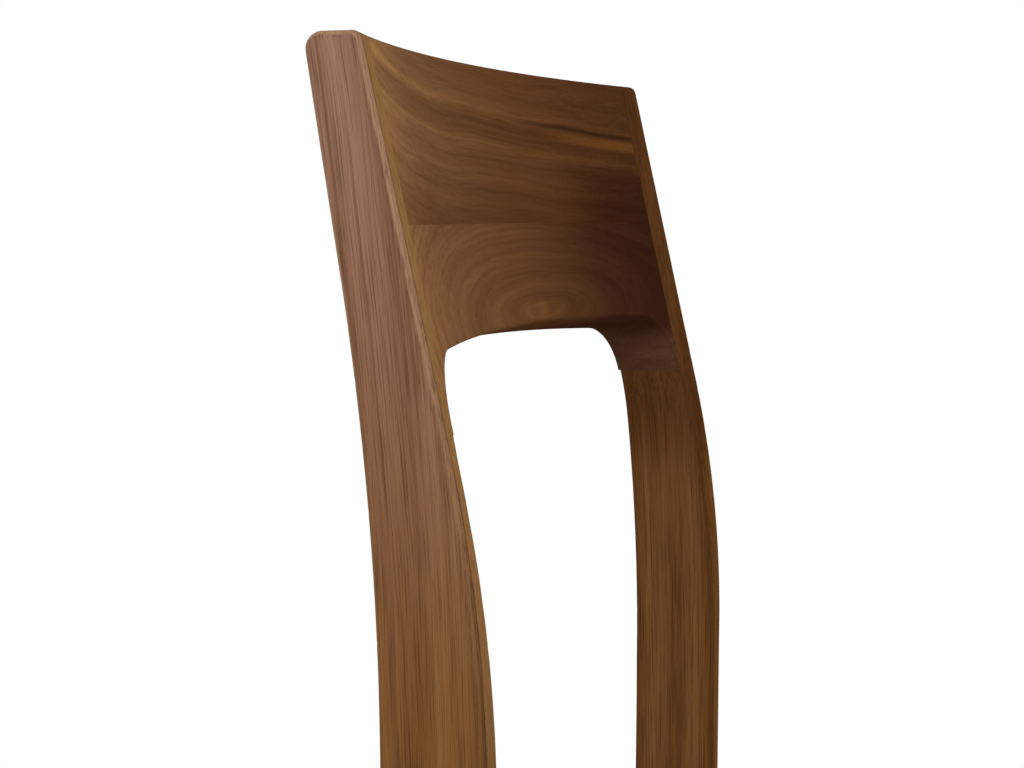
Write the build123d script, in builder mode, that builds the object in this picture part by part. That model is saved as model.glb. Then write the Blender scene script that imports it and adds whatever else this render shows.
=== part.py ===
"""Dining chair with a bowed wooden back and an upholstered seat pad, as separate pieces.

+Z is up and the chair faces -Y. The origin is on the floor, under the middle of the chair's outline.
Left and right are the sitter's: left is +X.
"""
import os
from math import atan2, cos, sin, sqrt, tan

from build123d import *

os.makedirs("parts", exist_ok=True)

# Overall sizes in millimetres
chair_height = 900
back_width = 440
seat_depth = 440
seat_width = 468
rail_top = 412

# Rear legs, which run up as the back posts: knees are below the chair's top, kicks below the rails' top
leg_thickness = 22
leg_depth_top = 28
leg_depth_seat = 51
leg_depth_foot = 32
top_setback = 59
foot_setback = 46
front_knee_drop = 257
front_knee_radius = 700
front_kick_drop = 92
front_kick_radius = 500
rear_knee_drop = 217
rear_knee_radius = 1390
rear_kick_drop = 32
rear_kick_radius = 1200
top_front_radius = 5
top_rear_radius = 8
outer_edge_radius = 4.5
inner_edge_radius = 4.5

# Back boards, bowed from post to post, with drops below the chair's top
back_bow = 27
glue_drop = 86
panel_height = 138
arch_rise = 10
arch_corner_radius = 36
arch_edge_radius = 2
ear_drop = 180
ear_width = 3
haunch_height = 30
upper_board_slices = 3
lower_board_slices = 4

# Front legs
front_leg_width = 34
front_leg_depth = 38
front_foot_width = 24
front_foot_depth = 26
front_leg_round = 5
front_leg_setback = 12
front_leg_inset = 4
taper_start = 12

# Seat rails and their tenons
rail_height = 60
rail_thickness = 20
rail_edge_radius = 2
front_rail_setback = 7
rear_rail_setback = 14
side_rail_setback = 5
side_rail_inset = 1
tenon_thickness = 9
tenon_height = 40
side_tenon_length = 18
front_tenon_length = 11
rear_tenon_length = 14

# Corner blocks
block_height = 30
block_drop = 2
front_block_near = 30
rear_block_near = 24
block_width = 27

# Dowels, with drops below the chair's top, screws and floor glides
dowel_radius = 4
dowel_in_post = 12
dowel_in_board = 18
dowel_above_arch = 4
upper_dowel_drops = (62, 26)
lower_dowel_drops = (panel_height - dowel_above_arch, 108)
board_dowel_length = 36
board_dowel_places = (50, 140)
screw_radius = 2
screw_head_radius = 4
screw_head_height = 2.5
screw_socket_radius = 1.7
screw_socket_depth = 1.5
block_screw_seat = 8
block_screw_bite = 13
seat_screw_bite = 8
glide_radius = 9
glide_height = 4
glide_edge_radius = 1
nail_radius = 1.1
nail_head_radius = 4
nail_head_height = 1
nail_cover = 1.5
nail_length = 18

# Seat pad
pad_corner_radius = 24
pad_overhang = 3
pad_edge_height = 41
pad_crown = 11
pad_draw_in = 4
pad_crown_reach = 120
pad_crown_power = 2.5
pad_side_steps = 4
pad_crown_steps = 5
post_clearance = 3
cover_thickness = 1.4
cover_turn_in = 50
board_inset = 6.5
board_thickness = 12
dust_cover_thickness = 0.8
dust_cover_clearance = 2
dust_cover_corner = 26
staple_width = 10
staple_wire = 0.8
staple_leg = 6
staple_inset = 6
staples_across = 7
staples_along = 6

# Clearances
glue_gap = 0.1
soft_gap = 0.3

# Worked-out places
front_knee_height = chair_height - front_knee_drop
rear_knee_height = chair_height - rear_knee_drop
front_kick_height = rail_top - front_kick_drop
rear_kick_height = rail_top - rear_kick_drop
glue_height = chair_height - glue_drop
ear_height = chair_height - ear_drop
rear_lean = atan2(top_setback + leg_depth_top - leg_depth_seat, rear_knee_drop)
front_lean = atan2(top_setback, front_knee_drop)
corner_loss = top_rear_radius * (tan(rear_lean) + 1 / cos(rear_lean) - 1)
outer_x = back_width / 2
inner_x = outer_x - leg_thickness
bow_radius = (outer_x**2 + back_bow**2) / (2 * back_bow)
end_bow = sqrt(bow_radius**2 - inner_x**2) - (bow_radius - back_bow)
rear_reach = top_setback + leg_depth_top + back_bow - corner_loss
leg_line = (seat_depth - rear_reach) / 2
pad_front = leg_line - seat_depth
leg_middle_x = outer_x - leg_thickness / 2
haunch_x = inner_x - ear_width
rail_bottom = rail_top - rail_height
rail_middle = rail_top - rail_height / 2
front_leg_x = seat_width / 2 - front_leg_inset
front_leg_y = pad_front + front_leg_setback
front_leg_back = front_leg_y + front_leg_depth
front_leg_inside = front_leg_x - front_leg_width
front_rail_y = front_leg_y + front_rail_setback
front_rail_inside = front_rail_y + rail_thickness
rear_rail_y = leg_line + rear_rail_setback
rear_rail_back = rear_rail_y + rail_thickness
side_front_x = front_leg_x - side_rail_setback - rail_thickness
side_rear_x = inner_x + side_rail_inset
pad_rear = rear_rail_back + pad_overhang
pad_half_front = seat_width / 2
pad_half_rear = outer_x
pad_height = pad_edge_height + pad_crown
board_bottom = rail_top + cover_thickness
board_top = board_bottom + board_thickness
block_bottom = rail_top - block_drop - block_height
block_middle = block_bottom + block_height / 2
board_notch_x = inner_x - post_clearance - board_inset
board_notch_y = leg_line - post_clearance - board_inset
staple_leg_x = (staple_width - staple_wire) / 2
far_away = 2 * chair_height


def edge_y(height, setback, lean, knee_height, knee_radius):
    """Distance behind its upright part of an edge that leans back, with its knee lowered by the setback."""
    reach = knee_radius * tan(lean / 2)
    rise = height - knee_height + setback / tan(lean)
    if rise >= reach * cos(lean):
        return rise * tan(lean)
    if rise <= -reach:
        return 0
    return knee_radius - sqrt(knee_radius**2 - (rise + reach) ** 2)


def front_y(height, setback):
    """Front of the back at a height, with the setback that the bow gives it."""
    return leg_line + edge_y(height, setback, front_lean, front_knee_height, front_knee_radius)


def rear_y(height, setback):
    """Rear of the back at a height, with the setback that the bow gives it."""
    upright = leg_line + leg_depth_seat
    return upright + edge_y(height, setback, rear_lean, rear_knee_height, rear_knee_radius)


def bow_at(x):
    """How far the bowed back lies behind the posts' outer edges."""
    return sqrt(bow_radius**2 - x**2) - (bow_radius - back_bow)


def side_rail_x(y):
    """Inner face of the left side rail, which widens towards the front."""
    return side_rear_x + (side_front_x - side_rear_x) * (leg_line - y) / (leg_line - front_leg_back)


def leg_profile(x, setback):
    """Side view of a rear leg at x, with both edges set back above the seat by lower knees."""
    with BuildSketch(Plane.YZ.offset(x)) as profile:
        with BuildLine():
            front = FilletPolyline(
                (leg_line + top_setback + setback, chair_height),
                (leg_line, front_knee_height - setback / tan(front_lean)),
                (leg_line, front_kick_height),
                (leg_line + foot_setback, glide_height),
                radius=(front_knee_radius, front_kick_radius),
            )
            rear = FilletPolyline(
                (leg_line + top_setback + leg_depth_top + setback, chair_height),
                (leg_line + leg_depth_seat, rear_knee_height - setback / tan(rear_lean)),
                (leg_line + leg_depth_seat, rear_kick_height),
                (leg_line + foot_setback + leg_depth_foot, glide_height),
                radius=(rear_knee_radius, rear_kick_radius),
            )
            Line(front @ 0, rear @ 0)
            Line(front @ 1, rear @ 1)
        make_face()
        fillet(profile.vertices().group_by(Axis.Y)[-1].sort_by(Axis.X)[0], top_front_radius)
        fillet(profile.vertices().group_by(Axis.Y)[-1].sort_by(Axis.X)[-1], top_rear_radius)
    return profile.sketch


def panel_slice(height):
    """Level slice through the back panel, from one post's inner face to the other's."""
    with BuildSketch(Plane.XY.offset(height)) as level:
        with BuildLine():
            front = ThreePointArc(
                (-inner_x, front_y(height, end_bow)),
                (0, front_y(height, back_bow)),
                (inner_x, front_y(height, end_bow)),
            )
            rear = ThreePointArc(
                (-inner_x, rear_y(height, end_bow)),
                (0, rear_y(height, back_bow)),
                (inner_x, rear_y(height, end_bow)),
            )
            Line(front @ 0, rear @ 0)
            Line(front @ 1, rear @ 1)
        make_face()
    return level.sketch


def panel_slices(low, high, count):
    """Evenly spaced slices of the back panel between two heights."""
    return [panel_slice(low + (high - low) * i / (count - 1)) for i in range(count)]


def panel_middle(x, height):
    """Middle of the panel's thickness."""
    return (front_y(height, bow_at(x)) + rear_y(height, bow_at(x))) / 2


def screw(seat, length):
    """Round-head screw whose head rests on a plane, driven along the plane's normal."""
    with BuildPart(seat) as body:
        Cylinder(screw_head_radius, screw_head_height, align=(Align.CENTER, Align.CENTER, Align.MAX))
        Cylinder(screw_radius, length, align=(Align.CENTER, Align.CENTER, Align.MIN))
        with BuildSketch(seat.offset(-screw_head_height)):
            RegularPolygon(screw_socket_radius, 6)
        extrude(amount=screw_socket_depth, mode=Mode.SUBTRACT)
    return body.part


def screw_space(seat, length):
    """Clear hole for such a screw, open above its head."""
    with BuildPart(seat) as space:
        Cylinder(screw_radius + glue_gap, length + glue_gap, align=(Align.CENTER, Align.CENTER, Align.MIN))
        Cylinder(screw_head_radius + soft_gap, rail_height, align=(Align.CENTER, Align.CENTER, Align.MAX))
    return space.part


def tenon(place, along, length, gap=0):
    """Tenon centred on a shoulder and reaching to both sides of it, or its mortise with a gap."""
    width = tenon_thickness + 2 * gap
    reach = 2 * (length + gap)
    height = tenon_height + 2 * gap
    with BuildPart() as peg:
        with Locations(place):
            if along == "x":
                Box(reach, width, height)
            else:
                Box(width, reach, height)
    return peg.part


def pad_outline(height, inset):
    """Plan of the seat pad, drawn in by an inset."""
    front = pad_half_front - inset
    rear = pad_half_rear - inset
    with BuildSketch(Plane.XY.offset(rail_top + height)) as plan:
        with BuildLine():
            Polyline(
                (-front, pad_front + inset),
                (front, pad_front + inset),
                (rear, pad_rear - inset),
                (-rear, pad_rear - inset),
                close=True,
            )
        make_face()
        fillet(plan.vertices(), pad_corner_radius)
    return plan.sketch


def pad_levels():
    """Heights and insets of the pad's slices: drawn-in sides, then a crown that flattens out."""
    levels = []
    for i in range(pad_side_steps + 1):
        rise = i / pad_side_steps
        levels.append((pad_edge_height * rise, pad_draw_in * (2 * rise - 1) ** 2))
    for i in range(1, pad_crown_steps + 1):
        run = (i / pad_crown_steps) ** 2
        height = pad_edge_height + pad_crown * (1 - (1 - run) ** pad_crown_power)
        levels.append((height, pad_draw_in + pad_crown_reach * run))
    return levels


def pad_solid(wall):
    """Crowned pad inside a wall of the given thickness, notched for the posts."""
    share = (pad_height - 2 * wall) / pad_height
    slices = [pad_outline(wall + share * height, inset + wall) for height, inset in pad_levels()]
    notch_x = inner_x - post_clearance - wall
    notch_y = leg_line - post_clearance - wall
    with BuildPart() as pad:
        loft(slices, ruled=True)
        for side in (1, -1):
            with BuildSketch(Plane.XY.offset(rail_top)):
                with Locations((side * notch_x, notch_y)):
                    Rectangle(far_away, far_away, align=(Align.MIN if side > 0 else Align.MAX, Align.MIN))
            extrude(amount=pad_height, mode=Mode.SUBTRACT)
    return pad.part


# Screw places, for the left side; the right side mirrors them
front_far = front_block_near + block_width * sqrt(2)
rear_far = rear_block_near + block_width * sqrt(2)
front_mid = (front_block_near + front_far) / 2
rear_mid = (rear_block_near + rear_far) / 2
front_corner = Vector(side_rail_x(front_rail_inside), front_rail_inside)
rear_corner = Vector(inner_x, rear_rail_y)
front_block_points = [
    (side_rail_x(front_rail_inside + front_block_near), front_rail_inside + front_block_near),
    (side_rail_x(front_rail_inside + front_far), front_rail_inside + front_far),
    (front_corner.X - front_far, front_rail_inside),
    (front_corner.X - front_block_near, front_rail_inside),
]
rear_block_points = [
    (side_rail_x(rear_rail_y - rear_block_near), rear_rail_y - rear_block_near),
    (side_rail_x(rear_rail_y - rear_far), rear_rail_y - rear_far),
    (rear_corner.X - rear_far, rear_rail_y),
    (rear_corner.X - rear_block_near, rear_rail_y),
]
front_side_y = front_rail_inside + front_mid
rear_side_y = rear_rail_y - rear_mid
block_screw_length = block_screw_seat + block_screw_bite
seat_screw_length = board_bottom + seat_screw_bite - block_bottom
block_screw_seats = [
    Plane(
        (front_corner.X - front_mid, front_rail_inside + block_screw_seat, block_middle),
        z_dir=(0, -1, 0),
    ),
    Plane((side_rail_x(front_side_y) - block_screw_seat, front_side_y, block_middle), z_dir=(1, 0, 0)),
    Plane((rear_corner.X - rear_mid, rear_rail_y - block_screw_seat, block_middle), z_dir=(0, 1, 0)),
    Plane((side_rail_x(rear_side_y) - block_screw_seat, rear_side_y, block_middle), z_dir=(1, 0, 0)),
]
seat_screw_seats = [
    Plane((front_corner.X - front_mid / 2, front_rail_inside + front_mid / 2, block_bottom), z_dir=(0, 0, 1)),
    Plane((rear_corner.X - rear_mid / 2, rear_rail_y - rear_mid / 2, block_bottom), z_dir=(0, 0, 1)),
]
foot_places = {
    "front": (front_leg_x - front_foot_width / 2, front_leg_y + front_foot_depth / 2),
    "rear": (leg_middle_x, leg_line + foot_setback + leg_depth_foot / 2),
}

# All the screws, and the space that they need in the wood
with BuildPart() as corner_block_screws:
    for seat in block_screw_seats:
        add(screw(seat, block_screw_length))
    mirror(about=Plane.YZ)

with BuildPart() as seat_screws:
    for seat in seat_screw_seats:
        add(screw(seat, seat_screw_length))
    mirror(about=Plane.YZ)

with BuildPart() as screw_spaces:
    for seat in block_screw_seats:
        add(screw_space(seat, block_screw_length))
    for seat in seat_screw_seats:
        add(screw_space(seat, seat_screw_length))
    mirror(about=Plane.YZ)

# Nails moulded into the four floor glides
with BuildPart() as glide_nails:
    for x, y in foot_places.values():
        for side in (1, -1):
            with Locations((side * x, y, nail_cover)):
                Cylinder(nail_head_radius, nail_head_height, align=(Align.CENTER, Align.CENTER, Align.MIN))
                Cylinder(nail_radius, nail_length, align=(Align.CENTER, Align.CENTER, Align.MIN))

# Dowels between the posts and the back boards, left side
dowel_length = dowel_in_post + dowel_in_board
dowel_middle_x = inner_x + (dowel_in_post - dowel_in_board) / 2
dowel_places = [
    (dowel_middle_x, panel_middle(inner_x, chair_height - drop), chair_height - drop)
    for drop in upper_dowel_drops + lower_dowel_drops
]
with BuildPart() as backrest_dowels_left:
    with Locations(*dowel_places):
        Cylinder(dowel_radius, dowel_length, rotation=(0, 90, 0))

with BuildPart() as dowel_holes_left:
    with Locations(*dowel_places):
        Cylinder(dowel_radius + glue_gap, dowel_length + 2 * glue_gap, rotation=(0, 90, 0))

with BuildPart() as backrest_dowels_right:
    mirror(backrest_dowels_left.part, about=Plane.YZ)

with BuildPart() as dowel_holes:
    add(dowel_holes_left.part)
    mirror(about=Plane.YZ)

# Dowels across the glue line between the two back boards
board_dowel_spots = [
    (side * x, panel_middle(x, glue_height), glue_height) for x in board_dowel_places for side in (1, -1)
]
with BuildPart() as board_dowels:
    with Locations(*board_dowel_spots):
        Cylinder(dowel_radius, board_dowel_length)

with BuildPart() as board_dowel_holes:
    with Locations(*board_dowel_spots):
        Cylinder(dowel_radius + glue_gap, board_dowel_length + 2 * glue_gap)

# Rear leg blank: side view lofted across the thickness, then cut to its front view
with BuildPart() as rear_leg_blank:
    loft([leg_profile(outer_x, 0), leg_profile(haunch_x, bow_at(haunch_x))], ruled=True)
    with BuildSketch(Plane.XZ) as front_view:
        with BuildLine():
            haunch = TangentArc(
                (inner_x, ear_height - haunch_height),
                (haunch_x, ear_height),
                tangent=(0, 1),
            )
            Polyline(
                haunch @ 1,
                (inner_x, ear_height),
                (inner_x, chair_height),
                (outer_x, chair_height),
                (outer_x, glide_height),
                (inner_x, glide_height),
                haunch @ 0,
            )
        make_face()
    extrude(amount=far_away, both=True, mode=Mode.INTERSECT)
    outer_face = rear_leg_blank.faces().sort_by(Axis.X)[-1]
    fillet(outer_face.edges().sort_by(Axis.Z)[1:], outer_edge_radius)
    inner_edges = [
        edge
        for edge in rear_leg_blank.edges()
        if edge.bounding_box().max.X < inner_x + glue_gap
        and edge.bounding_box().max.Z < ear_height + glue_gap
        and edge.bounding_box().size.Z > leg_thickness
    ]
    fillet(inner_edges, inner_edge_radius)

# Tenons of the left half's joints: shoulder middle, direction and length
tenon_sizes = {
    "side_rear": ((side_rear_x + rail_thickness / 2, leg_line, rail_middle), "y", side_tenon_length),
    "side_front": ((side_front_x + rail_thickness / 2, front_leg_back, rail_middle), "y", side_tenon_length),
    "rear": ((inner_x, rear_rail_y + rail_thickness / 2, rail_middle), "x", rear_tenon_length),
    "front": ((front_leg_inside, front_rail_y + rail_thickness / 2, rail_middle), "x", front_tenon_length),
}
with BuildPart() as mortises:
    for place, along, length in tenon_sizes.values():
        add(tenon(place, along, length, glue_gap))

with BuildPart() as rear_leg_left:
    add(rear_leg_blank.part)
    add(mortises.part, mode=Mode.SUBTRACT)
    add(dowel_holes.part, mode=Mode.SUBTRACT)
    add(glide_nails.part, mode=Mode.SUBTRACT)

with BuildPart() as rear_leg_right:
    mirror(rear_leg_left.part, about=Plane.YZ)

# Front legs: outer and front faces plumb, the two inside faces tapered below the rails
front_leg_middle = (front_leg_x - front_leg_width / 2, front_leg_y + front_leg_depth / 2)
taper_height = rail_bottom - taper_start
with BuildPart() as front_leg_left:
    with BuildSketch(Plane.XY.offset(glide_height)):
        with Locations(foot_places["front"]):
            RectangleRounded(front_foot_width, front_foot_depth, front_leg_round)
    with BuildSketch(Plane.XY.offset(taper_height)):
        with Locations(front_leg_middle):
            RectangleRounded(front_leg_width, front_leg_depth, front_leg_round)
    loft(ruled=True)
    with BuildSketch(Plane.XY.offset(taper_height)):
        with Locations(front_leg_middle):
            RectangleRounded(front_leg_width, front_leg_depth, front_leg_round)
    extrude(amount=rail_top - taper_height)
    add(mortises.part, mode=Mode.SUBTRACT)
    add(glide_nails.part, mode=Mode.SUBTRACT)

with BuildPart() as front_leg_right:
    mirror(front_leg_left.part, about=Plane.YZ)

# Back boards
with BuildPart() as backrest_upper_board:
    loft(panel_slices(glue_height, chair_height, upper_board_slices))
    top_arcs = backrest_upper_board.edges().group_by(Axis.Z)[-1].sort_by(SortBy.LENGTH)[-2:]
    fillet(top_arcs.sort_by(Axis.Y)[0], top_front_radius)
    top_arcs = backrest_upper_board.edges().group_by(Axis.Z)[-1].sort_by(SortBy.LENGTH)[-2:]
    fillet(top_arcs.sort_by(Axis.Y)[-1], top_rear_radius)
    add(dowel_holes.part, mode=Mode.SUBTRACT)
    add(board_dowel_holes.part, mode=Mode.SUBTRACT)

panel_plane = Plane(
    (0, leg_line + top_setback, chair_height),
    x_dir=(1, 0, 0),
    z_dir=(0, -cos(front_lean), sin(front_lean)),
)
with BuildPart() as backrest_lower_board:
    loft(panel_slices(ear_height, glue_height, lower_board_slices))
    with BuildSketch(panel_plane) as opening:
        with BuildLine():
            arch = ThreePointArc(
                (-haunch_x, -panel_height - arch_rise),
                (0, -panel_height),
                (haunch_x, -panel_height - arch_rise),
            )
            Polyline(arch @ 0, (-haunch_x, -chair_height), (haunch_x, -chair_height), arch @ 1)
        make_face()
        arch_corners = [corner for corner in opening.vertices() if corner.Y > -chair_height / 2]
        fillet(arch_corners, arch_corner_radius)
    extrude(amount=far_away, both=True, mode=Mode.SUBTRACT)
    arch_edges = [
        edge
        for edge in backrest_lower_board.edges()
        if edge.bounding_box().max.Z < glue_height - glue_gap
        and edge.bounding_box().size.X > arch_corner_radius / 2
    ]
    fillet(arch_edges, arch_edge_radius)
    add(dowel_holes.part, mode=Mode.SUBTRACT)
    add(board_dowel_holes.part, mode=Mode.SUBTRACT)

# Seat rails
with BuildPart() as front_rail:
    with BuildSketch(Plane.XY.offset(rail_bottom)):
        with Locations((0, front_rail_y + rail_thickness / 2)):
            Rectangle(2 * front_leg_inside, rail_thickness)
    extrude(amount=rail_height)
    fillet(front_rail.edges().filter_by(Axis.X).group_by(Axis.Z)[0], rail_edge_radius)
    add(tenon(*tenon_sizes["front"]))
    mirror(tenon(*tenon_sizes["front"]), about=Plane.YZ)
    add(screw_spaces.part, mode=Mode.SUBTRACT)

with BuildPart() as rear_rail:
    with BuildSketch(Plane.XY.offset(rail_bottom)):
        with Locations((0, rear_rail_y + rail_thickness / 2)):
            Rectangle(2 * inner_x, rail_thickness)
    extrude(amount=rail_height)
    fillet(rear_rail.edges().filter_by(Axis.X).group_by(Axis.Z)[0], rail_edge_radius)
    add(tenon(*tenon_sizes["rear"]))
    mirror(tenon(*tenon_sizes["rear"]), about=Plane.YZ)
    add(screw_spaces.part, mode=Mode.SUBTRACT)

side_rail_end = leg_line + outer_edge_radius
with BuildPart() as side_rail_left:
    with BuildSketch(Plane.XY.offset(rail_bottom)):
        with BuildLine():
            Polyline(
                (side_rail_x(front_leg_back), front_leg_back),
                (side_rail_x(front_leg_back) + rail_thickness, front_leg_back),
                (side_rail_x(side_rail_end) + rail_thickness, side_rail_end),
                (side_rail_x(side_rail_end), side_rail_end),
                close=True,
            )
        make_face()
    extrude(amount=rail_height)
    fillet(side_rail_left.edges().group_by(Axis.Z)[0].sort_by(SortBy.LENGTH)[-2:], rail_edge_radius)
    add(rear_leg_blank.part, mode=Mode.SUBTRACT)
    add(tenon(*tenon_sizes["side_rear"]))
    add(tenon(*tenon_sizes["side_front"]))
    add(screw_spaces.part, mode=Mode.SUBTRACT)

with BuildPart() as side_rail_right:
    mirror(side_rail_left.part, about=Plane.YZ)

# Corner blocks
with BuildPart() as corner_block_front_left:
    with BuildSketch(Plane.XY.offset(block_bottom)):
        Polygon(*front_block_points, align=None)
    extrude(amount=block_height)
    add(screw_spaces.part, mode=Mode.SUBTRACT)

with BuildPart() as corner_block_rear_left:
    with BuildSketch(Plane.XY.offset(block_bottom)):
        Polygon(*rear_block_points, align=None)
    extrude(amount=block_height)
    add(screw_spaces.part, mode=Mode.SUBTRACT)

with BuildPart() as corner_block_front_right:
    mirror(corner_block_front_left.part, about=Plane.YZ)

with BuildPart() as corner_block_rear_right:
    mirror(corner_block_rear_left.part, about=Plane.YZ)

# Staples along the dust cover's edges
dust_front = front_rail_inside + dust_cover_clearance
dust_rear = rear_rail_y - dust_cover_clearance
dust_bottom = rail_top - dust_cover_thickness
row_front = dust_front + staple_inset
row_rear = dust_rear - staple_inset
staple_reach = dust_cover_thickness + cover_thickness + staple_leg
cross_run = side_rail_x(row_rear) - front_far
long_run = (row_rear - row_front) / 2 - rear_far
long_middle = (row_front + row_rear) / 2
across = [cross_run * (2 * i / (staples_across - 1) - 1) for i in range(staples_across)]
along = [long_middle + long_run * (2 * i / (staples_along - 1) - 1) for i in range(staples_along)]
staple_spots = [(x, y, 0) for x in across for y in (row_front, row_rear)]
staple_spots += [
    (side * (side_rail_x(y) - dust_cover_clearance - staple_inset), y, 90) for y in along for side in (1, -1)
]
with BuildPart() as cover_staples:
    for x, y, turn in staple_spots:
        with Locations(Location((x, y, dust_bottom), (0, 0, turn))):
            Box(staple_width, staple_wire, staple_wire, align=(Align.CENTER, Align.CENTER, Align.MAX))
            with Locations((staple_leg_x, 0, 0), (-staple_leg_x, 0, 0)):
                Box(staple_wire, staple_wire, staple_reach, align=(Align.CENTER, Align.CENTER, Align.MIN))

# Seat pad: board, foam, sewn cover and dust cover
with BuildPart() as seat_board:
    extrude(pad_outline(cover_thickness, board_inset), amount=board_thickness)
    for side in (1, -1):
        with BuildSketch(Plane.XY.offset(rail_top)):
            with Locations((side * board_notch_x, board_notch_y)):
                Rectangle(far_away, far_away, align=(Align.MIN if side > 0 else Align.MAX, Align.MIN))
        extrude(amount=pad_height, mode=Mode.SUBTRACT)
    add(screw_spaces.part, mode=Mode.SUBTRACT)
    add(cover_staples.part, mode=Mode.SUBTRACT)

with BuildPart() as seat_foam:
    add(pad_solid(cover_thickness + soft_gap))
    with BuildSketch(Plane.XY.offset(board_top + soft_gap)):
        Rectangle(far_away, far_away)
    extrude(amount=-pad_height, mode=Mode.SUBTRACT)

with BuildPart() as seat_cover:
    add(pad_solid(0))
    add(pad_solid(cover_thickness), mode=Mode.SUBTRACT)
    extrude(pad_outline(0, cover_turn_in), amount=2 * cover_thickness, mode=Mode.SUBTRACT)
    add(screw_spaces.part, mode=Mode.SUBTRACT)
    add(cover_staples.part, mode=Mode.SUBTRACT)

with BuildPart() as dust_cover:
    with BuildSketch(Plane.XY.offset(dust_bottom)) as dust_plan:
        with BuildLine():
            Polyline(
                (side_rail_x(dust_front) - dust_cover_clearance, dust_front),
                (side_rail_x(dust_rear) - dust_cover_clearance, dust_rear),
                (dust_cover_clearance - side_rail_x(dust_rear), dust_rear),
                (dust_cover_clearance - side_rail_x(dust_front), dust_front),
                close=True,
            )
        make_face()
        chamfer(dust_plan.vertices().group_by(Axis.Y)[0], dust_cover_corner)
    extrude(amount=dust_cover_thickness)
    add(screw_spaces.part, mode=Mode.SUBTRACT)
    add(cover_staples.part, mode=Mode.SUBTRACT)

# Floor glides
with BuildPart() as floor_glide_front_left:
    with Locations(foot_places["front"]):
        Cylinder(glide_radius, glide_height, align=(Align.CENTER, Align.CENTER, Align.MIN))
    fillet(floor_glide_front_left.edges().sort_by(Axis.Z)[0], glide_edge_radius)
    add(glide_nails.part, mode=Mode.SUBTRACT)

with BuildPart() as floor_glide_rear_left:
    with Locations(foot_places["rear"]):
        Cylinder(glide_radius, glide_height, align=(Align.CENTER, Align.CENTER, Align.MIN))
    fillet(floor_glide_rear_left.edges().sort_by(Axis.Z)[0], glide_edge_radius)
    add(glide_nails.part, mode=Mode.SUBTRACT)

with BuildPart() as floor_glide_front_right:
    mirror(floor_glide_front_left.part, about=Plane.YZ)

with BuildPart() as floor_glide_rear_right:
    mirror(floor_glide_rear_left.part, about=Plane.YZ)

# One named file for each piece
pieces = {
    "rear_leg_left": rear_leg_left,
    "rear_leg_right": rear_leg_right,
    "front_leg_left": front_leg_left,
    "front_leg_right": front_leg_right,
    "backrest_upper_board": backrest_upper_board,
    "backrest_lower_board": backrest_lower_board,
    "backrest_dowels_left": backrest_dowels_left,
    "backrest_dowels_right": backrest_dowels_right,
    "board_dowels": board_dowels,
    "front_rail": front_rail,
    "rear_rail": rear_rail,
    "side_rail_left": side_rail_left,
    "side_rail_right": side_rail_right,
    "corner_block_front_left": corner_block_front_left,
    "corner_block_front_right": corner_block_front_right,
    "corner_block_rear_left": corner_block_rear_left,
    "corner_block_rear_right": corner_block_rear_right,
    "corner_block_screws": corner_block_screws,
    "seat_screws": seat_screws,
    "seat_board": seat_board,
    "seat_foam": seat_foam,
    "seat_cover": seat_cover,
    "dust_cover": dust_cover,
    "cover_staples": cover_staples,
    "floor_glide_front_left": floor_glide_front_left,
    "floor_glide_front_right": floor_glide_front_right,
    "floor_glide_rear_left": floor_glide_rear_left,
    "floor_glide_rear_right": floor_glide_rear_right,
    "glide_nails": glide_nails,
}
for piece_name, piece in pieces.items():
    piece.part.label = piece_name
    export_step(piece.part, f"parts/{piece_name}.step")
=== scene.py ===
from math import cos, exp, pi, sin, sqrt

import bmesh
import bpy
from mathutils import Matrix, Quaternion, Vector, noise
from mathutils.bvhtree import BVHTree
from mathutils.kdtree import KDTree


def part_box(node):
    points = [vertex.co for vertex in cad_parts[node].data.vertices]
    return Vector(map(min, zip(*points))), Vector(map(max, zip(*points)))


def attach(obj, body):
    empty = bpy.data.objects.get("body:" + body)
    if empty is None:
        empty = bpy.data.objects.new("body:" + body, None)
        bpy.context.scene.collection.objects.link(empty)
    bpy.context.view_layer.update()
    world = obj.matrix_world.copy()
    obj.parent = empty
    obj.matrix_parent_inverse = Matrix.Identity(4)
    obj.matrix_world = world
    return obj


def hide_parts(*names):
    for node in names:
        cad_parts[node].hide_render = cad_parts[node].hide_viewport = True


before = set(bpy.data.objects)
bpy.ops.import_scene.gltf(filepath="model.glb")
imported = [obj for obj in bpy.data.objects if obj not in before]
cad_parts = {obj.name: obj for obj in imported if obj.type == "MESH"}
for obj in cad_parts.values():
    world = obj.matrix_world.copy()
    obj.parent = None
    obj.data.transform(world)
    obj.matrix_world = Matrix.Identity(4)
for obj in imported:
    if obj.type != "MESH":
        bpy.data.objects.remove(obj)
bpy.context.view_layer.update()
scene = bpy.context.scene
scene.view_settings.view_transform = "Standard"

# Camera, fitted to the outlines in the photograph
camera_place = Vector((-1.0460, -0.1433, 0.8202))
camera_yaw = 0.3421
camera_pitch = -0.0844
camera_roll = 0.0038
camera_lens = 71.49
camera_sensor = 36.0
camera_near = 0.05

# Studio: each lamp has a place, an aim, a size, a power in watts and a colour
floor_rings = (0.2, 0.5, 0.9, 1.2, 1.45)
floor_sides = 96
floor_fade = (0.60, 1.30)
world_light = 0.26
left_lamp = ((-2.3, 0.1, 1.5), (-0.15, 0.2, 0.7), 1.3, 42.0, (1.0, 1.0, 1.0))
right_lamp = ((3.6, -1.2, 1.5), (0.0, 0.2, 0.7), 1.4, 175.0, (1.0, 0.95, 0.86))

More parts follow.
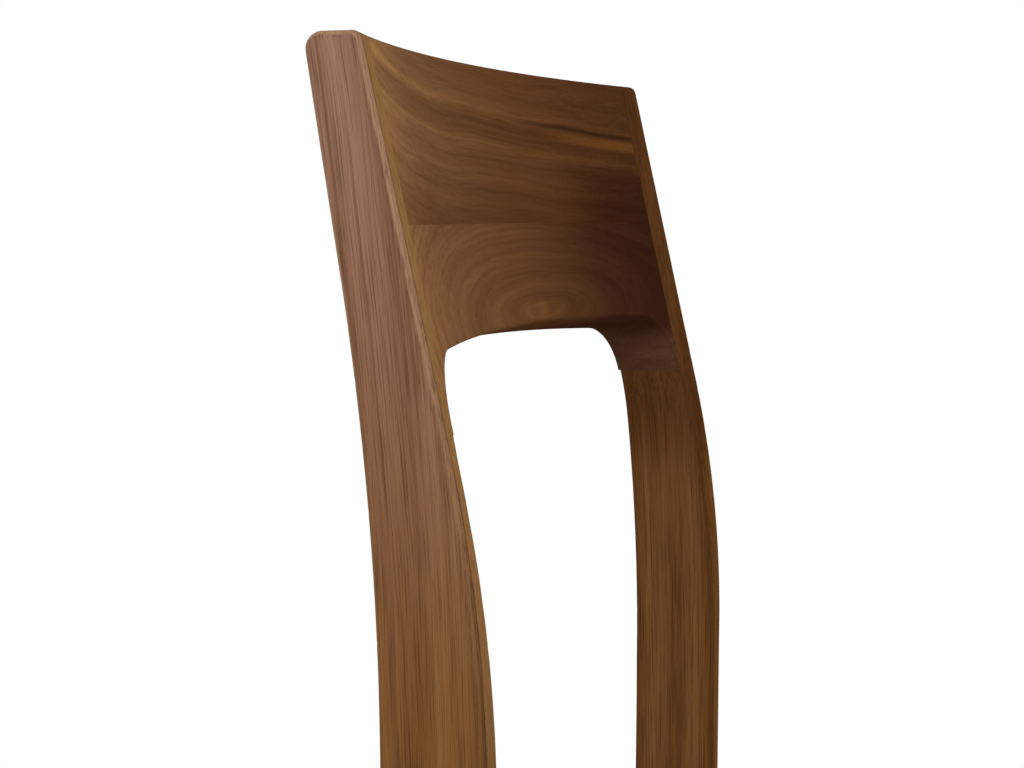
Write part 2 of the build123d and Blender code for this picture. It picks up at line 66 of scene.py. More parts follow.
# Wood figure and painted light and shade, in metres: heights and distances from the middle plane where the
# colour turns
lean_start = 0.50
kick_start = 0.38
# Painted sheen: heights where the leg turns lighter and pinker
sheen_heights = (0.56, 0.86)
# Heights where the sitter's left post turns darker: darker wood with painted shade under the boards
heart_shade_heights = (0.64, 0.70)
right_to_left = (-0.1, 0.1)
left_to_right = (0.1, -0.1)
# Painted highlight: a light ridge along the right post's front edge
highlight_edges = ((-0.2196, -0.2184), (-0.2148, -0.2160))
highlight_warm_heights = (0.58, 0.84)
highlight_heights = (0.40, 0.84)
# Painted light: a lighter olive strip on the right post's front face
front_light_edge = (-0.2156, -0.2146)
front_light_heights = (0.50, 0.62)
# Painted dark reflection: a dark line between the highlight and the front face
dark_reflection_edges = ((-0.2164, -0.2157), (-0.2146, -0.2153))
upper_board_levels = (0.806, 0.906)
shade_levels = (0.860, 0.846)
shade_places = (0.06, 0.17)
yellow_edges = ((0.8630, 0.8675), (0.8725, 0.8695))
yellow_places = (0.05, 0.16)
dark_edges = ((0.8715, 0.8735), (0.8765, 0.8745))
dark_places = (0.0, 0.10)
streak_end = 0.20
streak_rise = 0.012
# Painted shade under the ear at the sitter's left end of the lower board
ear_shade_heights = (0.752, 0.738)
ear_shade_places = (0.10, 0.17)
eye_x = 0.022
eye_z = 0.7665
eye_edge = (0.0062, 0.0012)
halo_edges = ((0.0052, 0.0082), (0.0125, 0.0090))
ring_start = (0.004, 0.026)
ring_pitch = 0.0062
ply_pitch = 0.0034
wood_bump = 0.00018

# Wood figure, as plain factors and counts per metre
streak_falloff = -25.0
streak_slope = 0.040
eye_flattening = 0.55
oval_flattening = 0.235
oval_scale = 24.0
oval_power = 1.35
fleck_run = 38.0
fleck_fibres = 1700.0
pore_strength = 0.22

# Figure of the cloths and the glides, in metres
yarn_pitch = 0.0030
dimple_pitch = 0.0022
scuff_heights = (0.0022, 0.0004)

# Seat cushion, in metres
pad_low, pad_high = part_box("seat_cover")
pad_half_front = 0.234
pad_half_rear = 0.220
pad_corner = 0.024
pad_small_corner = 0.008
pad_edge_height = 0.041
pad_draw_in = 0.004
pad_crown_reach = 0.120
pad_slack = 0.0025
post_gap = 0.003
notch_margin = 0.001
rear_tenon_length = 0.014
side_tenon_length = 0.018
voxel = 0.005
pin_height = 0.006
cushion_cap = 0.007
seam_spacing = 0.002
seam_depth = 0.0018
seam_width = 0.0035
stitch_length = 0.0042
stitch_pitch = 0.0062
stitch_radius = 0.00050
stitch_offset = 0.0045
stitch_rise = 0.002
stitch_lift = 0.0004

# Seat cushion, its steps and the settings of its cloth
pad_crown_power = 2.5
pad_steps = 8
smooth_share = 0.5
smooth_rounds = 4
cushion_pressure = 4.0
cushion_frames = 20
cloth_quality = 5
cloth_mass = 0.3
cloth_stretch = 12.0
cloth_bend = 0.6
stitch_rings = 5
stitch_sides = 6

# Dust cover, in metres, with its ripples per metre and its counts
dust_low, dust_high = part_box("dust_cover")
dust_half_front = 0.2031
dust_half_rear = 0.1968
dust_corner = 0.026
dust_sag = 0.0014
dust_ripple = 14
dust_ripple_depth = 3.7
dust_rows = 48
dust_columns = 56


def linear(red, green, blue):
    """Colour from 0 to 255 numbers as the eye sees them, as a shader colour."""
    values = []
    for part in (red, green, blue):
        part = part / 255
        values.append(part / 12.92 if part <= 0.04045 else ((part + 0.055) / 1.055) ** 2.4)
    return (*values, 1.0)


class Shader:
    """A material under construction, with short calls for the nodes that it needs."""

    def __init__(self, name):
        self.material = bpy.data.materials.new(name)
        self.material.use_nodes = True
        self.tree = self.material.node_tree
        self.tree.nodes.clear()
        self.output = self.node("ShaderNodeOutputMaterial")
        self.place = self.node("ShaderNodeTexCoord").outputs["Object"]
        self.x, self.y, self.z = self.split(self.place)

    def node(self, kind, inputs=None, **settings):
        made = self.tree.nodes.new(kind)
        for key, value in settings.items():
            setattr(made, key, value)
        for key, value in (inputs or {}).items():
            if isinstance(value, bpy.types.NodeSocket):
                self.tree.links.new(value, made.inputs[key])
            else:
                made.inputs[key].default_value = value
        return made

    def split(self, vector):
        return self.node("ShaderNodeSeparateXYZ", {0: vector}).outputs[:]

    def join(self, x, y, z):
        return self.node("ShaderNodeCombineXYZ", {0: x, 1: y, 2: z}).outputs[0]

    def calc(self, operation, a, b=0.0):
        return self.node("ShaderNodeMath", {0: a, 1: b}, operation=operation).outputs[0]

    def times(self, a, b):
        return self.calc("MULTIPLY", a, b)

    def plus(self, a, b):
        return self.calc("ADD", a, b)

    def noise(self, vector, detail=2.0, roughness=0.5, scale=1.0):
        inputs = {"Vector": vector, "Scale": scale, "Detail": detail, "Roughness": roughness}
        return self.node("ShaderNodeTexNoise", inputs).outputs["Fac"]

    def step(self, value, low, high, start=0.0, end=1.0):
        """Smooth step of a value between two limits."""
        inputs = {"Value": value, "From Min": low, "From Max": high, "To Min": start, "To Max": end}
        return self.node("ShaderNodeMapRange", inputs, interpolation_type="SMOOTHSTEP").outputs[0]

    def band(self, value, edges):
        """One between two smooth edges of a value, and nothing outside them."""
        rise, fall = edges
        return self.times(self.step(value, *rise), self.step(value, *fall))

    def along_back(self):
        """Place along the back boards, from 0 at the sitter's right to 1 at the left."""
        return self.plus(self.times(self.x, 2.5), 0.5)

    def ramp(self, value, stops):
        made = self.node("ShaderNodeValToRGB", {0: value})
        elements = made.color_ramp.elements
        for element, (position, color) in zip(elements, (stops[0], stops[-1])):
            element.position = position
            element.color = color
        for position, color in stops[1:-1]:
            elements.new(position).color = color
        return made.outputs[0]

    def mix(self, factor, a, b, mode="MIX"):
        made = self.node("ShaderNodeMix", {0: factor, 6: a, 7: b}, data_type="RGBA", blend_type=mode)
        return made.outputs[2]

    def bump(self, height, distance, strength=1.0):
        inputs = {"Height": height, "Distance": distance, "Strength": strength}
        return self.node("ShaderNodeBump", inputs).outputs[0]

    def finish(self, color, roughness, normal, **sockets):
        inputs = {"Base Color": color, "Roughness": roughness, "Normal": normal}
        inputs.update({key.replace("_", " "): value for key, value in sockets.items()})
        surface = self.node("ShaderNodeBsdfPrincipled", inputs).outputs[0]
        self.tree.links.new(surface, self.output.inputs[0])
        return self.material


def wood(
    s, along, across, depth, color, run=9.0, fibres=700.0, dark=0.80, pore_color=(52, 32, 20), shine=0.0
):
    """Fibre streaks, pores and a fine bump over a figured wood colour, matt unless it is given a shine."""
    streaks = s.noise(
        s.join(s.times(along, run), s.times(across, fibres), s.times(depth, fibres)),
        detail=3.0,
        roughness=0.6,
    )
    flecks = s.noise(
        s.join(s.times(along, fleck_run), s.times(across, fleck_fibres), s.times(depth, fleck_fibres)),
        detail=1.0,
    )
    pores = s.step(flecks, 0.60, 0.78)
    shade = s.ramp(
        streaks, [(0.30, (dark, dark, dark, 1)), (0.52, (0.93, 0.93, 0.93, 1)), (0.72, (1, 1, 1, 1))]
    )
    color = s.mix(1.0, color, shade, "MULTIPLY")
    color = s.mix(s.times(pores, pore_strength), color, linear(*pore_color))
    roughness = s.plus(s.times(streaks, 0.16), 0.45)
    height = s.plus(s.times(streaks, 0.6), s.times(pores, -0.5))
    return s.finish(color, roughness, s.bump(height, wood_bump, 0.5), Specular_IOR_Level=shine)


def post_walnut(name, curved):
    """Walnut with its grain along a leg, and a painted sheen that makes its upper part lighter and pinker.
    On a curved leg the grain runs out gently. The sitter's left post has no sheen and is darker heartwood
    with painted shade over its upper part.
    The right one has a painted highlight as a light ridge along its front edge, a painted dark reflection
    as a line beside it, and painted light as an olive strip on its front face."""
    s = Shader(name)
    across = s.y
    if curved:
        lean = s.calc("MAXIMUM", s.plus(s.z, -lean_start), 0.0)
        kick = s.calc("MAXIMUM", s.plus(s.times(s.z, -1.0), kick_start), 0.0)
        shift = s.plus(s.times(s.times(lean, lean), 0.20), s.times(s.times(kick, kick), 0.25))
        across = s.plus(s.y, s.times(shift, -1.0))
    wander = s.noise(s.join(s.times(s.z, 5.0), s.times(across, 9.0), s.times(s.x, 9.0)), detail=2.0)
    across = s.plus(across, s.times(s.plus(wander, -0.5), 0.006))
    broad = s.noise(
        s.join(s.times(s.z, 1.6), s.times(across, 70.0), s.times(s.x, 45.0)), detail=3.0, roughness=0.6
    )
    rings = s.noise(
        s.join(s.times(s.z, 2.6), s.times(across, 210.0), s.times(s.x, 60.0)), detail=2.0, roughness=0.5
    )
    warm = s.ramp(
        broad,
        [
            (0.28, linear(100, 62, 31)),
            (0.46, linear(121, 80, 43)),
            (0.60, linear(131, 90, 50)),
            (0.74, linear(140, 98, 58)),
        ],
    )
    # Painted sheen: a lighter, pinker colour for the upper part of the leg
    painted_sheen = s.ramp(
        broad,
        [
            (0.28, linear(122, 86, 67)),
            (0.46, linear(143, 105, 84)),
            (0.60, linear(151, 114, 93)),
            (0.74, linear(160, 122, 101)),
        ],
    )
    color = s.mix(s.step(s.z, *sheen_heights), warm, painted_sheen)
    color = s.mix(s.times(s.step(rings, 0.54, 0.70), 0.55), color, linear(98, 63, 40))
    if curved:
        # The sitter's left post: darker wood, with painted shade over its upper part under the boards
        heart_and_shade = s.mix(1.0, warm, (0.65, 0.57, 0.58, 1.0), "MULTIPLY")
        heart_and_shade = s.mix(s.step(s.z, *heart_shade_heights), warm, heart_and_shade)
        color = s.mix(s.step(s.x, *right_to_left), color, heart_and_shade)
        # Painted highlight: a light ridge along the right post's rounded front edge
        painted_highlight = s.times(s.band(s.x, highlight_edges), s.step(s.z, *highlight_heights, 0.35, 0.85))
        highlight_color = s.mix(s.step(s.z, *highlight_warm_heights), linear(150, 106, 62), linear(190, 147, 115))
        color = s.mix(painted_highlight, color, highlight_color)
        # Painted light: a lighter olive strip on the right post's front face
        painted_front_light = s.times(s.band(s.x, (front_light_edge, left_to_right)), s.step(s.z, *front_light_heights))
        color = s.mix(painted_front_light, color, linear(153, 113, 71))
        # Painted dark reflection: a dark line between the highlight and the front face
        color = s.mix(s.times(s.band(s.x, dark_reflection_edges), 0.5), color, linear(84, 55, 34))
    return wood(s, s.z, across, s.x, color, run=22.0, fibres=1300.0, dark=0.46)


def upper_board_walnut():
    """Heartwood with long streaks that rise at the right-hand end, and painted shade that darkens it
    towards the sitter's left and low at that end.
    """
    s = Shader("walnut_upper_board")
    rise = s.calc("EXPONENT", s.times(s.plus(s.x, streak_end), streak_falloff))
    rise = s.times(rise, streak_rise)
    wander = s.noise(s.join(s.times(s.x, 9.0), s.times(s.y, 9.0), s.times(s.z, 16.0)), detail=2.0)
    level = s.plus(s.plus(s.z, s.times(rise, -1.0)), s.times(s.plus(wander, -0.5), 0.009))
    level = s.plus(level, s.times(s.x, streak_slope))
    bands = s.ramp(
        s.step(level, *upper_board_levels),
        [
            (0.00, linear(130, 91, 61)),
            (0.08, linear(148, 108, 74)),
            (0.14, linear(139, 100, 68)),
            (0.22, linear(158, 118, 82)),
            (0.34, linear(151, 111, 77)),
            (0.46, linear(160, 120, 84)),
            (0.50, linear(171, 131, 89)),
            (0.55, linear(151, 111, 77)),
            (0.64, linear(144, 105, 72)),
            (0.72, linear(153, 113, 79)),
            (0.77, linear(176, 135, 91)),
            (0.84, linear(160, 120, 83)),
            (1.00, linear(158, 118, 82)),
        ],
    )
    # Painted shade: the board darkens towards the sitter's left
    shade_along_back = s.ramp(
        s.along_back(),
        [
            (0.02, (0.96, 0.93, 0.88, 1)),
            (0.16, (0.66, 0.62, 0.60, 1)),
            (0.50, (0.50, 0.41, 0.33, 1)),
            (0.80, (0.39, 0.28, 0.23, 1)),
            (0.97, (0.33, 0.24, 0.20, 1)),
        ],
    )
    shade = s.times(s.step(level, *shade_levels), s.step(s.x, *shade_places))
    shade_along_back = s.mix(s.times(shade, 0.75), shade_along_back, (0.16, 0.11, 0.12, 1.0))
    bands = s.mix(1.0, bands, shade_along_back, "MULTIPLY")
    yellow = s.times(s.band(level, yellow_edges), s.step(s.x, *yellow_places, 0.0, 0.75))
    bands = s.mix(yellow, bands, linear(130, 85, 42))
    dark = s.times(s.band(level, dark_edges), s.step(s.x, *dark_places, 0.0, 0.7))
    bands = s.mix(dark, bands, linear(57, 33, 21))
    lines = s.noise(
        s.join(s.times(s.x, 3.0), s.times(s.y, 90.0), s.times(level, 330.0)), detail=3.0, roughness=0.55
    )
    lines = s.ramp(
        lines, [(0.32, (0.78, 0.76, 0.74, 1)), (0.50, (0.93, 0.93, 0.93, 1)), (0.66, (1, 1, 1, 1))]
    )
    color = s.mix(1.0, bands, lines, "MULTIPLY")
    return wood(s, s.x, level, s.y, color)


def lower_board_walnut():
    """Flat-sawn walnut with oval figure round a small pale eye, and painted shade that darkens it towards
    the sitter's left and under the ear at that end.
    """
    s = Shader("walnut_lower_board")
    wander = s.noise(s.join(s.times(s.x, 7.0), s.times(s.y, 7.0), s.times(s.z, 14.0)), detail=2.0)
    wander = s.plus(wander, -0.5)
    side = s.times(s.plus(s.x, -eye_x), oval_flattening)
    side = s.calc("POWER", s.times(s.calc("ABSOLUTE", side), oval_scale), oval_power)
    side = s.times(side, 1.0 / oval_scale)
    up = s.plus(s.z, -eye_z)
    radius = s.calc("SQRT", s.plus(s.times(side, side), s.times(up, up)))
    radius = s.plus(radius, s.times(wander, 0.009))
    ring_noise = s.noise(s.join(s.times(radius, 190.0), s.times(s.x, 2.0), s.times(s.y, 40.0)), detail=2.0)
    bands = s.ramp(
        ring_noise,
        [
            (0.26, linear(139, 100, 68)),
            (0.42, linear(147, 107, 74)),
            (0.56, linear(154, 114, 79)),
            (0.70, linear(161, 121, 84)),
        ],
    )
    # Painted shade: the board darkens towards the sitter's left
    shade_along_back = s.ramp(
        s.along_back(),
        [
            (0.02, (0.90, 0.86, 0.80, 1)),
            (0.18, (0.62, 0.57, 0.52, 1)),
            (0.50, (0.52, 0.44, 0.36, 1)),
            (0.80, (0.24, 0.165, 0.18, 1)),
            (0.97, (0.175, 0.12, 0.135, 1)),
        ],
    )
    # Painted shade under the ear at the sitter's left end
    ear_shade = s.times(s.step(s.z, *ear_shade_heights), s.step(s.x, *ear_shade_places))
    shade_along_back = s.mix(ear_shade, shade_along_back, (0.37, 0.30, 0.35, 1.0))
    bands = s.mix(1.0, bands, shade_along_back, "MULTIPLY")
    rings = s.calc("SINE", s.times(radius, 2 * pi / ring_pitch))
    rings = s.times(s.step(rings, 0.35, 1.0), s.step(wander, -0.25, 0.15, 0.06, 0.18))
    rings = s.times(rings, s.step(radius, *ring_start, 0.25, 1.0))
    color = s.mix(rings, bands, linear(77, 45, 27))
    eye_side = s.times(s.plus(s.x, -eye_x), eye_flattening)
    eye = s.calc("SQRT", s.plus(s.times(eye_side, eye_side), s.times(up, up)))
    color = s.mix(s.times(s.band(eye, halo_edges), 0.12), color, linear(73, 43, 29))
    color = s.mix(s.step(eye, *eye_edge, 0.0, 0.40), color, linear(135, 94, 52))
    return wood(s, s.x, radius, s.y, color)


def rail_walnut(name, along, across):
    """Straight-grained walnut along a rail. The two letters name its length and its thickness."""
    s = Shader(name)
    places = {"x": s.x, "y": s.y}
    run, thick = places[along], places[across]
    wander = s.noise(s.join(s.times(run, 4.0), s.times(thick, 8.0), s.times(s.z, 8.0)), detail=2.0)
    level = s.plus(s.z, s.times(s.plus(wander, -0.5), 0.022))
    broad = s.noise(
        s.join(s.times(run, 1.8), s.times(level, 75.0), s.times(thick, 45.0)), detail=3.0, roughness=0.6
    )
    color = s.ramp(
        broad,
        [
            (0.28, linear(98, 64, 41)),
            (0.48, linear(124, 86, 57)),
            (0.62, linear(137, 98, 67)),
            (0.76, linear(148, 108, 76)),
        ],
    )
    return wood(s, run, level, thick, color)


def beech(name):
    """Pale, sawn beech with short brown flecks."""
    s = Shader(name)
    broad = s.noise(s.join(s.times(s.x, 20.0), s.times(s.y, 90.0), s.times(s.z, 90.0)), detail=3.0)
    color = s.ramp(
        broad, [(0.3, linear(178, 142, 104)), (0.5, linear(199, 165, 124)), (0.7, linear(211, 180, 140))]
    )
    return wood(s, s.x, s.y, s.z, color, fibres=420.0, pore_color=(150, 108, 72), shine=0.2)


def plywood():
    """Birch plywood: pale faces, and layers that show at the edges."""
    s = Shader("birch_plywood")
    broad = s.noise(s.join(s.times(s.x, 4.0), s.times(s.y, 50.0), s.times(s.z, 300.0)), detail=3.0)
    color = s.ramp(broad, [(0.3, linear(205, 172, 128)), (0.7, linear(226, 198, 156))])
    layers = s.step(s.calc("SINE", s.times(s.z, 2 * pi / ply_pitch)), -0.2, 0.2)
    color = s.mix(s.times(layers, 0.35), color, linear(166, 122, 78))
    return wood(s, s.x, s.y, s.z, color, fibres=500.0, pore_color=(160, 120, 82), shine=0.2)


def steel(name):
    """Zinc-plated steel with fine scratches and dull patches."""
    s = Shader(name)
    patches = s.noise(s.place, detail=3.0, scale=260.0)
    scratches = s.noise(s.join(s.times(s.x, 3000.0), s.times(s.y, 300.0), s.times(s.z, 300.0)), detail=2.0)
    color = s.ramp(patches, [(0.3, linear(168, 166, 160)), (0.7, linear(205, 204, 198))])
    roughness = s.plus(s.times(patches, 0.22), 0.22)
    return s.finish(color, roughness, s.bump(scratches, 0.00004), Metallic=1.0)


def nylon():
    """Dark brown moulded nylon, scuffed where it meets the floor."""
    s = Shader("glide_nylon_brown")
    grain = s.noise(s.place, detail=2.0, scale=1600.0)
    scuffs = s.noise(s.join(s.times(s.x, 200.0), s.times(s.y, 900.0), s.times(s.z, 400.0)), detail=3.0)
    worn = s.times(s.step(s.z, *scuff_heights), s.step(scuffs, 0.45, 0.7))
    color = s.ramp(grain, [(0.3, linear(52, 44, 39)), (0.7, linear(68, 58, 51))])
    color = s.mix(s.times(worn, 0.5), color, linear(120, 110, 100))
    roughness = s.plus(s.times(grain, 0.25), 0.4)
    return s.finish(color, roughness, s.bump(grain, 0.00006))


def woven_cloth():
    """Oatmeal upholstery cloth: a plain weave of flecked yarns, laid flat on each side of the pad."""
    s = Shader("oatmeal_cloth")
    normal = s.split(s.node("ShaderNodeNewGeometry").outputs["Normal"])
    flat = [s.calc("ABSOLUTE", part) for part in normal]
    on_top = s.step(flat[2], 0.50, 0.62)
    on_front = s.calc("GREATER_THAN", flat[1], flat[0])
    side_run = s.plus(s.times(s.x, on_front), s.times(s.y, s.calc("SUBTRACT", 1.0, on_front)))
    across = s.plus(s.times(s.x, on_top), s.times(side_run, s.calc("SUBTRACT", 1.0, on_top)))
    along = s.plus(s.times(s.y, on_top), s.times(s.z, s.calc("SUBTRACT", 1.0, on_top)))
    pitch = 2 * pi / yarn_pitch
    uneven = s.times(s.plus(s.noise(s.place, detail=2.0, scale=90.0), -0.5), 1.4)
    warp = s.calc("SINE", s.plus(s.times(across, pitch), uneven))
    weft = s.calc("SINE", s.plus(s.times(along, pitch), uneven))
    over = s.step(s.times(warp, weft), -0.6, 0.6)
    depth = s.times(s.z, 20.0)
    warp_yarn = s.noise(s.join(s.times(across, 700.0), s.times(along, 60.0), depth), detail=3.0)
    weft_yarn = s.noise(s.join(s.times(across, 60.0), s.times(along, 700.0), depth), detail=3.0)
    warp_color = s.ramp(
        warp_yarn,
        [(0.3, linear(150, 138, 122)), (0.55, linear(186, 175, 158)), (0.75, linear(206, 197, 182))],
    )
    weft_color = s.ramp(
        weft_yarn,
        [(0.3, linear(132, 119, 103)), (0.55, linear(172, 160, 142)), (0.75, linear(196, 186, 170))],
    )
    color = s.mix(over, warp_color, weft_color)
    broad = s.noise(s.place, detail=2.0, scale=14.0)
    color = s.mix(s.step(broad, 0.3, 0.7, 0.0, 0.16), color, linear(150, 137, 119))
    fuzz = s.noise(s.place, detail=3.0, scale=1800.0)
    yarns = s.plus(s.calc("ABSOLUTE", warp), s.calc("ABSOLUTE", weft))
    height = s.plus(s.times(yarns, 0.5), s.times(fuzz, 0.4))
    roughness = s.plus(s.times(fuzz, 0.2), 0.78)
    return s.finish(
        color,
        roughness,
        s.bump(height, 0.0006, 0.8),
        Sheen_Weight=0.25,
        Sheen_Roughness=0.5,
        Specular_IOR_Level=0.25,
    )


def thread():
    """Twisted sewing thread, a shade darker than the cloth."""
    s = Shader("stitch_thread")
    twist = s.noise(s.join(s.times(s.x, 2600.0), s.times(s.y, 2600.0), s.times(s.z, 2600.0)), detail=2.0)
    color = s.ramp(twist, [(0.3, linear(120, 108, 92)), (0.7, linear(160, 148, 130))])
    roughness = s.plus(s.times(twist, 0.2), 0.6)
    return s.finish(color, roughness, s.bump(twist, 0.0002))


def dust_cloth():
    """Black spunbond cloth with pressed dimples and stray fibres."""
    s = Shader("black_dust_cloth")
    pitch = 2 * pi / dimple_pitch
    rising = s.calc("SINE", s.times(s.plus(s.x, s.y), pitch))
    falling = s.calc("SINE", s.times(s.calc("SUBTRACT", s.x, s.y), pitch))
    dimples = s.times(rising, falling)
    fibres = s.noise(s.join(s.times(s.x, 160.0), s.times(s.y, 1100.0), s.times(s.z, 100.0)), detail=4.0)
    color = s.ramp(fibres, [(0.3, linear(24, 24, 25)), (0.7, linear(52, 51, 52))])
    color = s.mix(s.step(dimples, 0.35, 0.8, 0.0, 0.4), color, linear(16, 16, 17))
    roughness = s.plus(s.times(fibres, 0.2), 0.72)
    return s.finish(color, roughness, s.bump(s.plus(s.times(dimples, -0.4), fibres), 0.0002))


def new_piece(name, mesh, material):
    """Shows a mesh as a piece that rides on the chair."""
    piece = bpy.data.objects.new(name, mesh)
    scene.collection.objects.link(piece)
    mesh.materials.append(material)
    for face in mesh.polygons:
        face.use_smooth = True
    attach(piece, "root")
    return piece


def evaluated_mesh(piece):
    """Copy of a piece's mesh with its modifiers applied."""
    shown = piece.evaluated_get(bpy.context.evaluated_depsgraph_get())
    return bpy.data.meshes.new_from_object(shown)


def rounded_loop(corners, steps=6):
    """Closed outline with each corner (x, y, radius) rounded, always with the same number of points."""
    points = []
    for i, (x, y, radius) in enumerate(corners):
        corner = Vector((x, y))
        before = Vector(corners[i - 1][:2])
        after = Vector(corners[(i + 1) % len(corners)][:2])
        start = corner + (before - corner).normalized() * radius
        end = corner + (after - corner).normalized() * radius
        for k in range(steps + 1):
            t = k / steps
            points.append(start * (1 - t) ** 2 + corner * 2 * t * (1 - t) + end * t**2)
    return points


# Places of the posts' notches in the pad
notch_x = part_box("rear_rail")[1].x - rear_tenon_length - post_gap
notch_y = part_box("side_rail_left")[1].y - side_tenon_length - post_gap


def pad_loop(inset):
    """Plan of the pad drawn in by an inset, with notches at the posts."""
    slope = (pad_half_rear - pad_half_front) / (pad_high.y - pad_low.y)
    front = pad_low.y + inset
    rear = pad_high.y - inset
    cut = notch_y - inset

    def side(y):
        return pad_half_front + slope * (y - pad_low.y) - inset

    half = [
        (side(front), front, pad_corner),
        (side(cut), cut, pad_small_corner),
        (notch_x - inset, cut, pad_small_corner),
        (notch_x - inset, rear, pad_small_corner),
    ]
    return half + [(-x, y, radius) for x, y, radius in reversed(half)]


def pad_levels(slack):
    """Heights and insets of the pad's slices: drawn-in sides, then a crown that flattens out."""
    crown = pad_high.z - pad_low.z - pad_edge_height
    levels = []
    for i in range(pad_steps + 1):
        rise = i / pad_steps
        levels.append((pad_edge_height * rise, pad_draw_in * (2 * rise - 1) ** 2 + slack))
    for i in range(1, pad_steps + 1):
        run = (i / pad_steps) ** 2
        height = pad_edge_height + (crown - slack) * (1 - (1 - run) ** pad_crown_power)
        levels.append((height, pad_draw_in + slack + pad_crown_reach * run))
    return levels


def pad_mesh():
    """Closed pad a little smaller than its place."""
    shape = bmesh.new()
    loops = []
    for height, inset in pad_levels(pad_slack):
        outline = rounded_loop(pad_loop(inset))
        loops.append([shape.verts.new((p.x, p.y, pad_low.z + height)) for p in outline])
    for low, high in zip(loops, loops[1:]):
        for k in range(len(low)):
            j = (k + 1) % len(low)
            shape.faces.new((low[k], low[j], high[j], high[k]))
    shape.faces.new(list(reversed(loops[0])))
    shape.faces.new(loops[-1])
    bmesh.ops.recalc_face_normals(shape, faces=shape.faces[:])
    mesh = bpy.data.meshes.new("seat_cushion_start")
    shape.to_mesh(mesh)
    shape.free()
    return mesh


def clear_of_posts(point):
    """Keeps a point of the pad out of the posts' notches and above the rails."""
    limit_x = notch_x + notch_margin
    limit_y = notch_y + notch_margin
    if abs(point.x) > limit_x and point.y > limit_y:
        if abs(point.x) - limit_x < point.y - limit_y:
            point.x = limit_x if point.x > 0 else -limit_x
        else:
            point.y = limit_y
    point.z = max(point.z, pad_low.z)
    return point


def inflate(piece):
    """Swells the pad as cloth under pressure, held along its lower edge, with a cap on the movement."""
    start = [vertex.co.copy() for vertex in piece.data.vertices]
    held = piece.vertex_groups.new(name="held")
    held.add([i for i, p in enumerate(start) if p.z < pad_low.z + pin_height], 1.0, "REPLACE")
    cloth = piece.modifiers.new("cloth", "CLOTH").settings
    cloth.quality = cloth_quality
    cloth.mass = cloth_mass
    cloth.tension_stiffness = cloth_stretch
    cloth.compression_stiffness = cloth_stretch
    cloth.bending_stiffness = cloth_bend
    cloth.use_pressure = True
    cloth.uniform_pressure_force = cushion_pressure
    cloth.effector_weights.gravity = 0.0
    cloth.vertex_group_mass = "held"
    for step in range(1, cushion_frames + 1):
        scene.frame_set(step)
    swollen = evaluated_mesh(piece)
    moved = [vertex.co.copy() for vertex in swollen.vertices]
    scene.frame_set(1)
    piece.modifiers.clear()
    piece.vertex_groups.clear()
    for vertex, before, after in zip(piece.data.vertices, start, moved):
        travel = after - before
        if travel.length > cushion_cap:
            travel *= cushion_cap / travel.length
        vertex.co = clear_of_posts(before + travel)


def dense_loop(loop, height, spacing):
    """Points at an even spacing along a closed outline at one height."""
    ring = [Vector((p.x, p.y, height)) for p in loop]
    points = []
    left = 0.0
    for a, b in zip(ring, ring[1:] + ring[:1]):
        length = (b - a).length
        while left < length:
            points.append(a.lerp(b, left / length))
            left += spacing
        left -= length
    return points


def sew_seam(mesh):
    """Presses a seam into the pad where its top meets its border."""
    seam = dense_loop(rounded_loop(pad_loop(pad_draw_in)), pad_low.z + pad_edge_height, seam_spacing)
    tree = BVHTree.FromPolygons([v.co for v in mesh.vertices], [f.vertices for f in mesh.polygons])
    line = KDTree(len(seam))
    for i, point in enumerate(seam):
        line.insert(tree.find_nearest(point)[0], i)
    line.balance()
    for vertex in mesh.vertices:
        distance = line.find(vertex.co)[2]
        if distance < 3 * seam_width:
            vertex.co -= vertex.normal * seam_depth * exp(-((distance / seam_width) ** 2))
    return tree


def stitch_row(tree):
    """Topstitching beside the seam, as short rounded threads that lie on the cloth."""
    inset = pad_draw_in + stitch_offset
    height = pad_low.z + pad_edge_height + stitch_rise
    path = dense_loop(rounded_loop(pad_loop(inset)), height, stitch_pitch)
    shape = bmesh.new()
    for a, b in zip(path, path[1:] + path[:1]):
        middle, normal = tree.find_nearest((a + b) / 2)[:2]
        along = (b - a).normalized()
        across = normal.cross(along).normalized()
        levels = []
        for r in range(stitch_rings):
            t = 2 * r / (stitch_rings - 1) - 1
            swell = stitch_radius * sqrt(max(1 - t * t * 0.9, 0.05))
            lift = stitch_lift * (1 - t * t)
            centre = middle + along * (t * stitch_length / 2) + normal * lift
            ring = []
            for k in range(stitch_sides):
                angle = 2 * pi * k / stitch_sides
                ring.append(shape.verts.new(centre + (across * cos(angle) + normal * sin(angle)) * swell))
            levels.append(ring)
        for low, high in zip(levels, levels[1:]):
            for k in range(stitch_sides):
                j = (k + 1) % stitch_sides
                shape.faces.new((low[k], low[j], high[j], high[k]))
        shape.faces.new(list(reversed(levels[0])))
        shape.faces.new(levels[-1])
    bmesh.ops.recalc_face_normals(shape, faces=shape.faces[:])
    mesh = bpy.data.meshes.new("seat_stitching")
    shape.to_mesh(mesh)
    shape.free()
    return mesh


